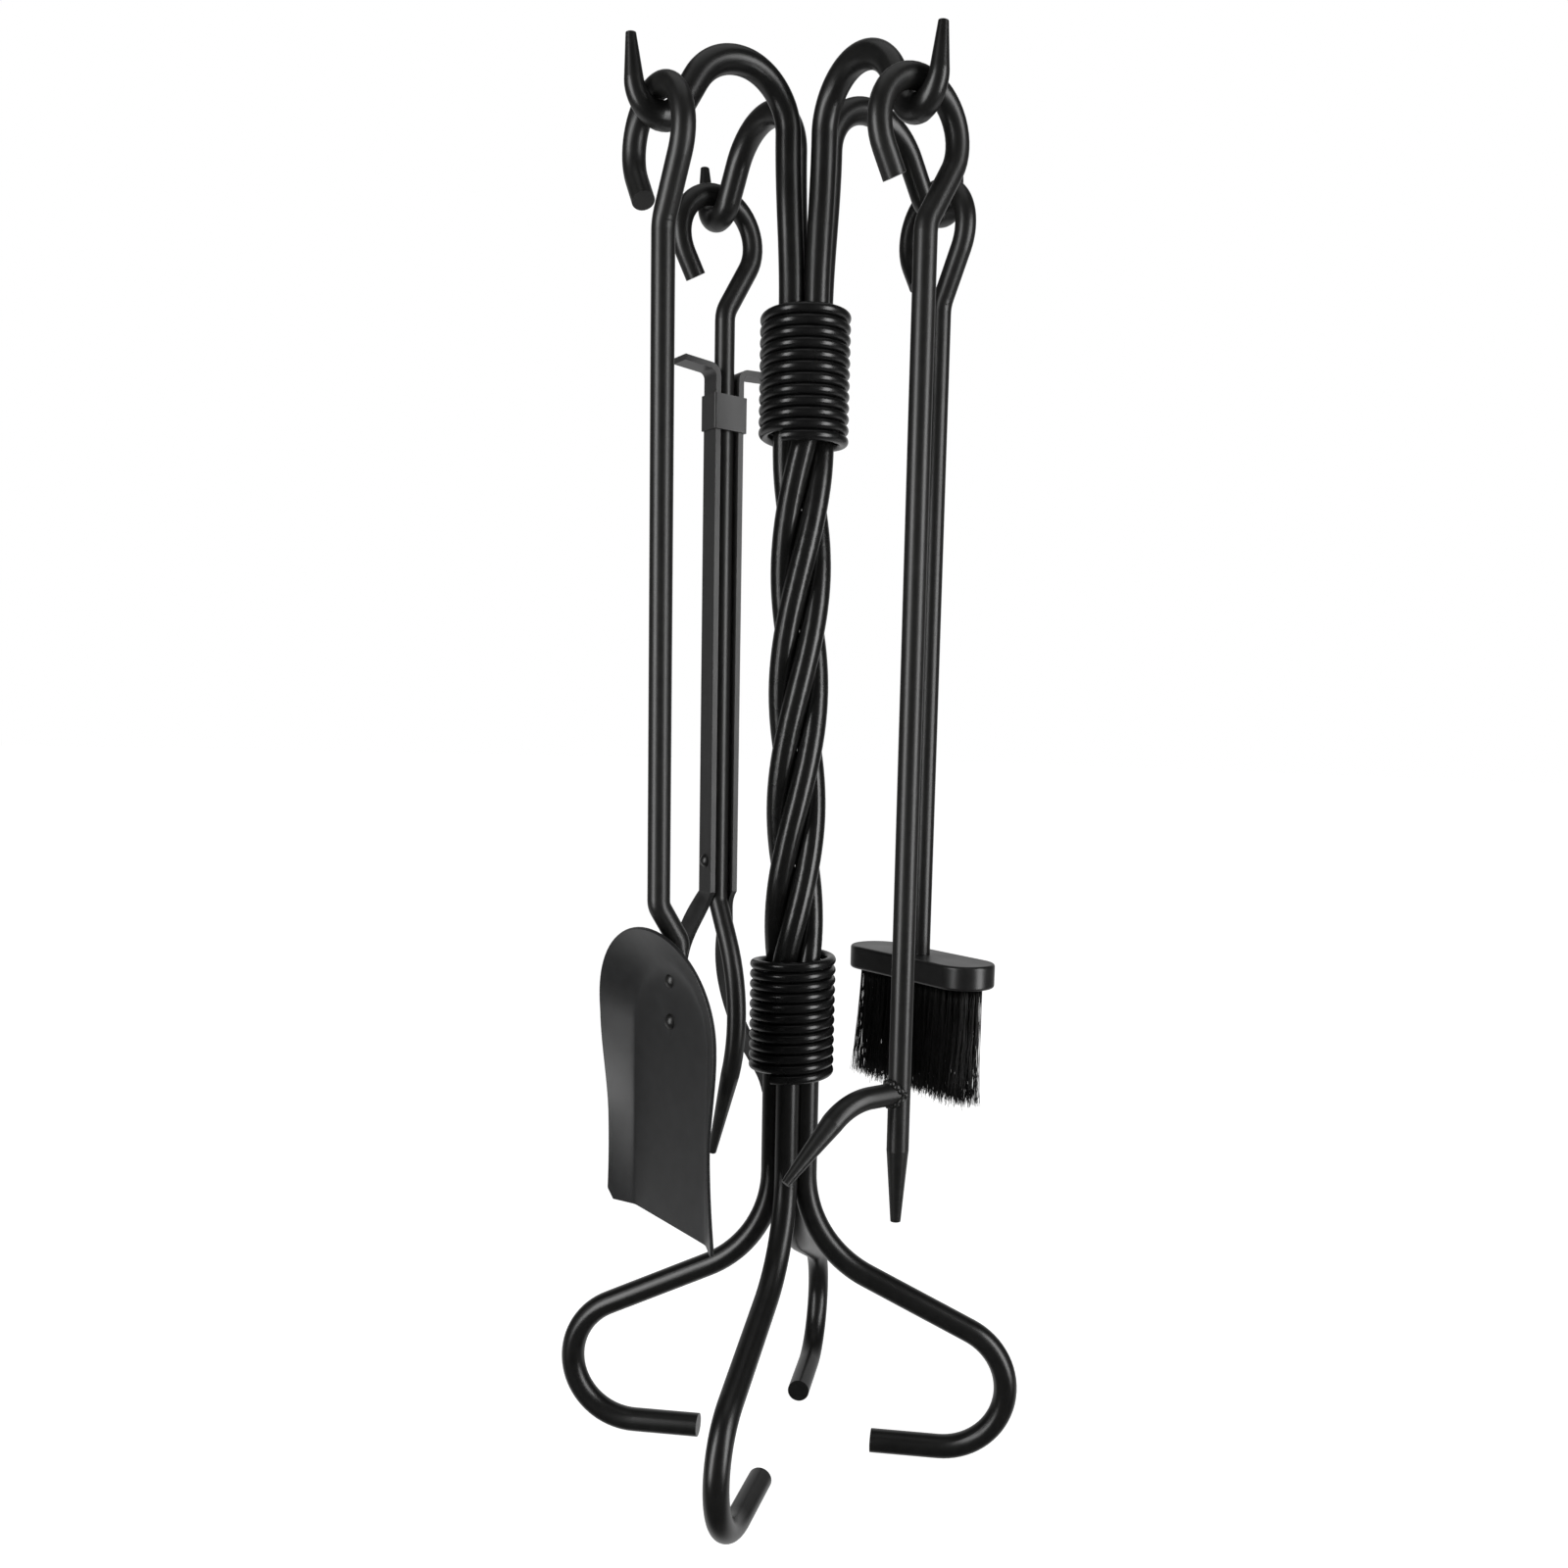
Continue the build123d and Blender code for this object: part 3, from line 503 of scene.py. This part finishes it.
def blade_mesh():
    """The sheet's inner face: a flat pan and sloping walls, with a crease that is soft only round the dome."""
    low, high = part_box("shovel_blade")
    middle = (low.y + high.y) / 2
    floor_x = shafts["shovel"].x + PAN_FLOOR
    half = [blade_section(side_station(i / SIDE_STEPS), SIDE_CREASE) for i in range(SIDE_STEPS)]
    dome = []
    for i in range(DOME_STEPS + 1):
        angle = pi * i / DOME_STEPS
        crease = SIDE_CREASE + (DOME_CREASE - SIDE_CREASE) * sin(angle) ** 2
        dome.append(blade_section(dome_station(angle), crease))
    mirrored = [[[-x, up, rise] for x, up, rise in section] for section in reversed(half)]
    form = bmesh.new()
    grid = []
    for section in half + dome + mirrored:
        grid.append([form.verts.new((floor_x - rise, middle - x, low.z + up)) for x, up, rise in section])
    for near, far in zip(grid, grid[1:]):
        for k in range(len(near) - 1):
            form.faces.new((near[k], near[k + 1], far[k + 1], far[k]))
    bmesh.ops.remove_doubles(form, verts=form.verts, dist=MERGE_DISTANCE)
    bmesh.ops.recalc_face_normals(form, faces=form.faces)
    if sum(face.normal.x * face.calc_area() for face in form.faces) > 0:
        bmesh.ops.reverse_faces(form, faces=form.faces)
    mesh = bpy.data.meshes.new("shovel_blade_pressed")
    form.to_mesh(mesh)
    form.free()
    return mesh


def make_blade():
    """The pressed sheet at its full thickness, with its edges rounded."""
    piece = add_piece("shovel_blade_pressed", blade_mesh(), blade_coat, "shovel")
    thick = piece.modifiers.new("sheet", "SOLIDIFY")
    thick.thickness = SHEET
    thick.offset = -1
    thick.use_even_offset = True
    edge = piece.modifiers.new("rolled_edge", "BEVEL")
    edge.width = EDGE_ROUND
    edge.segments = 2
    edge.limit_method = "ANGLE"
    edge.angle_limit = radians(EDGE_ANGLE)
    edge.harden_normals = True
    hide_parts("shovel_blade")


# ---------------------------------------------------------------- weld at the root of the poker's barb
WELD_RADIUS = 1.9 * MM
WELD_SIDES = 14
WELD_STEPS = 180
WELD_RIPPLES = 15
WELD_STAND_OFF = 0.9 * MM
WELD_SPREAD = 1.05          # width of the bead's line, as a share of the rod
RIPPLE_POWER = 0.7
WELD_CORE = 0.55            # the bead's radius between ripples, as a share of the full one
RIPPLE_SHARE = 0.2          # what a ripple adds
LOBE_SHARE = 0.3            # and what it adds more at the top of the bead


def make_weld():
    """Rippled bead along the line where the barb meets the shaft."""
    low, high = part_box("poker_weld")
    shaft = shafts["poker"]
    height = (low.z + high.z) / 2
    line = []
    for i in range(WELD_STEPS + 1):
        angle = 2 * pi * i / WELD_STEPS
        across = TOOL_ROD_RADIUS * cos(angle)
        up = TOOL_ROD_RADIUS * sin(angle)
        back = abs(up) + WELD_STAND_OFF
        ripple = abs(sin(WELD_RIPPLES * angle / 2)) ** RIPPLE_POWER
        lobe = 0.5 + 0.5 * sin(angle)
        point = Vector((shaft.x - back, shaft.y + across * WELD_SPREAD, height + up * WELD_SPREAD))
        line.append((point, WELD_RADIUS * (WELD_CORE + (RIPPLE_SHARE + LOBE_SHARE * lobe) * ripple)))
    mesh = tube_mesh("poker_weld_bead", [line], WELD_SIDES)
    piece = add_piece("poker_weld_bead", mesh, tool_coat, "poker")
    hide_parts("poker_weld")


# ---------------------------------------------------------------- folds pinched up in the necks of the loops
FOLD_SIDES = 8
FOLD_STEPS = 14
FOLD_LENGTH = 7.0 * MM
FOLD_RADIUS = 0.5 * MM
FOLD_TIP_RADIUS = 0.03 * MM
FOLD_HEIGHT = 625.5 * MM
FOLD_SPACING = 1.3 * MM
FOLD_SLANT = 0.8 * MM
FOLD_LIFT = 0.25 * MM         # of the fold's middle line over the rod
FOLD_SHORTER = 0.25           # share by which the second fold is shorter


def make_neck_fold(tool):
    """Two short raised folds across the inside of the bend between a shaft and its loop."""
    sideways = sideways_of[tool]
    away = Vector((0, 0, 1)).cross(sideways)
    out = TOOL_ROD_RADIUS + FOLD_LIFT
    lines = []
    for k in (0, 1):
        line = []
        for i in range(FOLD_STEPS + 1):
            t = i / FOLD_STEPS - 0.5
            angle = FOLD_LENGTH / out * t * (1 - FOLD_SHORTER * k)
            place = shafts[tool] + sideways * out * cos(angle) + away * out * sin(angle)
            height = FOLD_HEIGHT - FOLD_SPACING * k + FOLD_SLANT * t
            radius = FOLD_RADIUS * (1 - 4 * t * t) + FOLD_TIP_RADIUS
            line.append((Vector((place.x, place.y, height)), radius))
        lines.append(line)
    mesh = tube_mesh(f"{tool}_neck_fold", lines, FOLD_SIDES)
    add_piece(f"{tool}_neck_fold", mesh, tool_coat, tool)


make_bristles()
make_blade()
make_weld()
for tool_name in sorted(shafts):
    make_neck_fold(tool_name)


# ---------------------------------------------------------------- floor, light and camera
def view_direction():
    """Level direction from the camera to the stand."""
    return Vector((-CAMERA_PLACE[0], -CAMERA_PLACE[1], 0)).normalized()


def make_floor():
    """Large white floor that glows, as a lit studio table does."""
    material, _, shader = new_material("studio_floor", FLOOR_COLOUR, FLOOR_ROUGHNESS)
    shader.inputs["Specular IOR Level"].default_value = 0.0
    shader.inputs["Emission Color"].default_value = (1, 1, 1, 1)
    shader.inputs["Emission Strength"].default_value = FLOOR_GLOW
    mesh = bpy.data.meshes.new("studio_floor")
    half = FLOOR_SIZE / 2
    corners = [(-half, -half, 0), (half, -half, 0), (half, half, 0), (-half, half, 0)]
    mesh.from_pydata(corners, [], [(0, 1, 2, 3)])
    mesh.materials.append(material)
    floor = bpy.data.objects.new("studio_floor", mesh)
    bpy.context.scene.collection.objects.link(floor)
    floor.location.z = cad_box[0][2]
    floor.visible_glossy = False


def make_softbox(name, azimuth, height, distance, size, radiance, aim):
    """Rectangular light at azimuth degrees from the camera's side, + to the camera's right."""
    data = bpy.data.lights.new(name, "AREA")
    data.shape = "RECTANGLE"
    data.size, data.size_y = size
    data.energy = radiance * pi * size[0] * size[1]
    lamp = bpy.data.objects.new(name, data)
    bpy.context.scene.collection.objects.link(lamp)
    direction = Matrix.Rotation(radians(azimuth), 3, "Z") @ -view_direction()
    lamp.location = direction * distance + Vector((0, 0, height))
    look = Vector(aim) - lamp.location
    lamp.rotation_euler = look.to_track_quat("-Z", "Y").to_euler()


def towards(tree, direction, limits, strength):
    """Strength that grows as the looked-at direction turns towards a given one, between two cosines."""
    place = tree.nodes.new("ShaderNodeTexCoord")
    along = tree.nodes.new("ShaderNodeVectorMath")
    along.operation = "DOT_PRODUCT"
    along.inputs[1].default_value = direction
    tree.links.new(place.outputs["Generated"], along.inputs[0])
    grown = tree.nodes.new("ShaderNodeMapRange")
    grown.interpolation_type = "SMOOTHSTEP"
    grown.inputs["From Min"].default_value = limits[0]
    grown.inputs["From Max"].default_value = limits[1]
    grown.inputs["To Max"].default_value = strength
    tree.links.new(along.outputs["Value"], grown.inputs["Value"])
    return grown.outputs["Result"]


def combined(tree, operation, first, second):
    """Two strengths combined by a math operation; the second may be a number."""
    node = tree.nodes.new("ShaderNodeMath")
    node.operation = operation
    tree.links.new(first, node.inputs[0])
    if isinstance(second, float):
        node.inputs[1].default_value = second
    else:
        tree.links.new(second, node.inputs[1])
    return node.outputs["Value"]


def make_world():
    """White to the camera; for the object, a bright wall and table behind it and a dim room in front."""
    world = bpy.data.worlds.new("studio")
    bpy.context.scene.world = world
    world.use_nodes = True
    tree = world.node_tree
    room = tree.nodes["Background"]
    wall = towards(tree, view_direction(), WALL_SPAN, ROOM_BACK)
    far = towards(tree, view_direction(), TABLE_SPAN, ROOM_GROUND)
    below = towards(tree, Vector((0, 0, -1)), GROUND_SPAN, 1.0)
    table = combined(tree, "MULTIPLY", far, below)
    brightest = combined(tree, "MAXIMUM", wall, table)
    tree.links.new(combined(tree, "ADD", brightest, ROOM_FRONT), room.inputs["Strength"])
    room.inputs["Color"].default_value = (1, 1, 1, 1)
    seen = tree.nodes.new("ShaderNodeBackground")
    seen.inputs["Color"].default_value = (*BACKDROP, 1)
    ray = tree.nodes.new("ShaderNodeLightPath")
    mix = tree.nodes.new("ShaderNodeMixShader")
    tree.links.new(ray.outputs["Is Camera Ray"], mix.inputs["Fac"])
    tree.links.new(room.outputs["Background"], mix.inputs[1])
    tree.links.new(seen.outputs["Background"], mix.inputs[2])
    tree.links.new(mix.outputs["Shader"], tree.nodes["World Output"].inputs["Surface"])


def make_camera():
    """Camera in front of the corner between the shovel and the poker."""
    data = bpy.data.cameras.new("camera")
    data.lens = CAMERA_LENS
    data.shift_x, data.shift_y = CAMERA_SHIFT
    data.clip_start = CAMERA_NEAR
    camera = bpy.data.objects.new("camera", data)
    bpy.context.scene.collection.objects.link(camera)
    turn = Matrix.Rotation(radians(CAMERA_YAW), 4, "Z")
    tilt = Matrix.Rotation(radians(90 + CAMERA_PITCH), 4, "X")
    roll = Matrix.Rotation(radians(CAMERA_ROLL), 4, "Z")
    camera.matrix_world = Matrix.Translation(CAMERA_PLACE) @ turn @ tilt @ roll
    bpy.context.scene.camera = camera


make_floor()
for light_name, light_azimuth in SIDE_LIGHTS:
    make_softbox(light_name, light_azimuth, SIDE_LIGHT_HEIGHT, SIDE_LIGHT_DISTANCE, SIDE_LIGHT_SIZE,
                 SIDE_LIGHT_RADIANCE, SIDE_LIGHT_AIM)
make_softbox("top_softbox", 0, TOP_LIGHT_HEIGHT, TOP_LIGHT_DISTANCE, TOP_LIGHT_SIZE, TOP_LIGHT_RADIANCE,
             (0, 0, 0))
make_world()
make_camera()
bpy.context.scene.view_settings.view_transform = "Standard"
